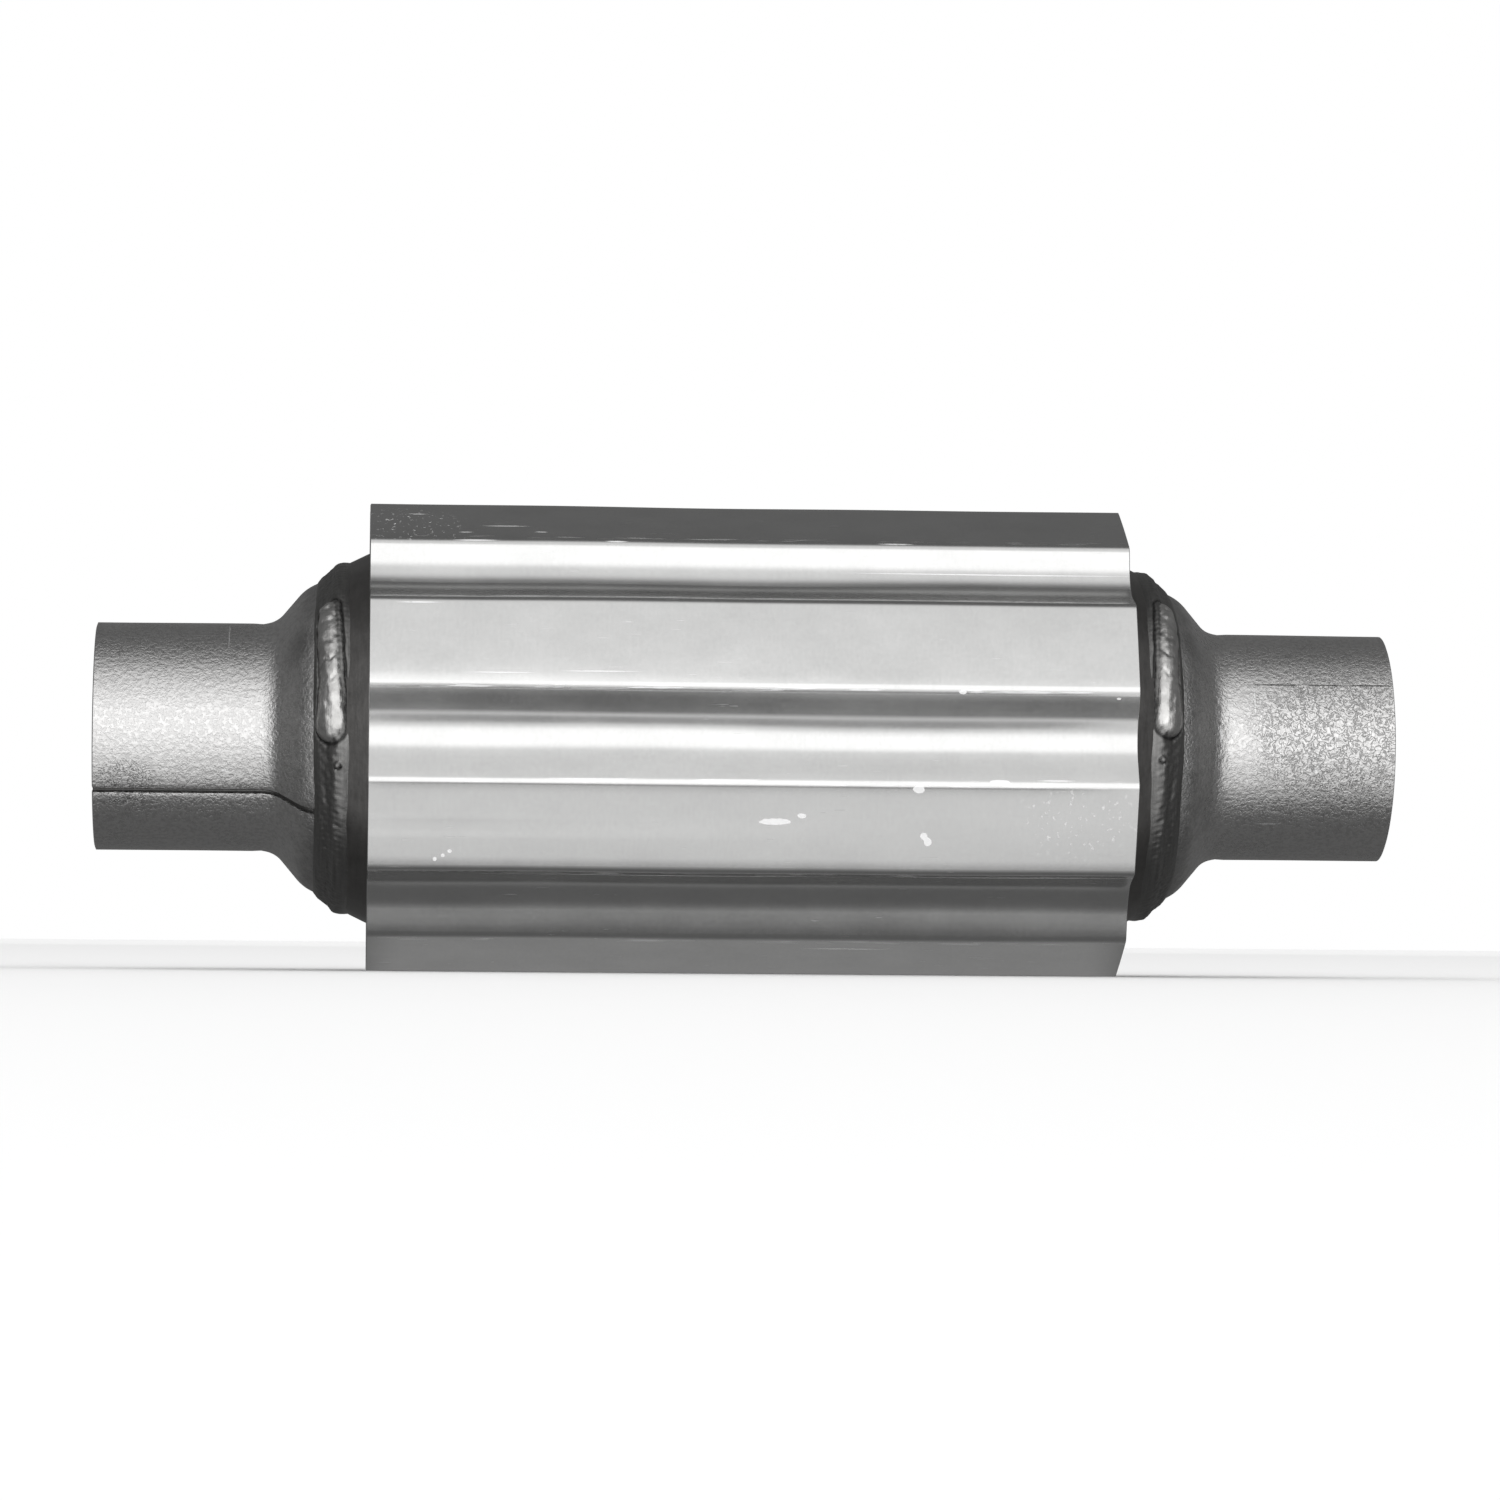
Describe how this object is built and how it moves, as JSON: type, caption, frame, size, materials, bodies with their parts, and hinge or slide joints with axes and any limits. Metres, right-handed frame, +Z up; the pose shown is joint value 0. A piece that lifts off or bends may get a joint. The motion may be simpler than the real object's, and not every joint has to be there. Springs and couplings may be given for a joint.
{
  "type": "catalytic converter",
  "caption": "Round-body exhaust catalytic converter: ribbed heat shield wrapped round a rolled steel shell, flared weld-on necks at both ends, honeycomb ceramic bricks inside.",
  "frame": {"origin": "on the gas-path axis, midway between the two pipe ends", "axes": "+X along the gas path towards the outlet, +Z up with the converter lying on two crests of its heat shield, -Y towards the viewer of the picture"},
  "size_m": [0.343, 0.1234, 0.1234],
  "materials": {
    "neck_steel": "mill-finish stainless sheet, rolled and flared, speckled, satin",
    "shell_steel": "stainless sheet dulled by forming and weld heat, mottled",
    "shield_steel": "bright thin steel sheet, satin with fine lengthwise grain and handling scratches",
    "weld_metal": "as-welded bead, rippled and slightly glossy",
    "honeycomb_ceramic": "coated cordierite honeycomb, matt buff",
    "fibre_mat": "expanding ceramic fibre mat, matt with flecks",
    "wire_mesh": "knitted stainless wire, pressed"
  },
  "bodies": {
    "root": {"inlet_neck": "neck_steel", "outlet_neck": "neck_steel", "inlet_neck_seam_weld": "weld_metal", "outlet_neck_seam_weld": "weld_metal", "body_shell": "shell_steel", "body_seam_weld": "weld_metal", "inlet_girth_weld": "weld_metal", "outlet_girth_weld": "weld_metal", "front_brick": "honeycomb_ceramic", "rear_brick": "honeycomb_ceramic", "front_mat": "fibre_mat", "rear_mat": "fibre_mat", "front_mat_inlet_ring": "wire_mesh", "front_mat_outlet_ring": "wire_mesh", "rear_mat_inlet_ring": "wire_mesh", "rear_mat_outlet_ring": "wire_mesh", "heat_shield": "shield_steel", "shield_spot_welds": "weld_metal"}
  },
  "joints": []
}
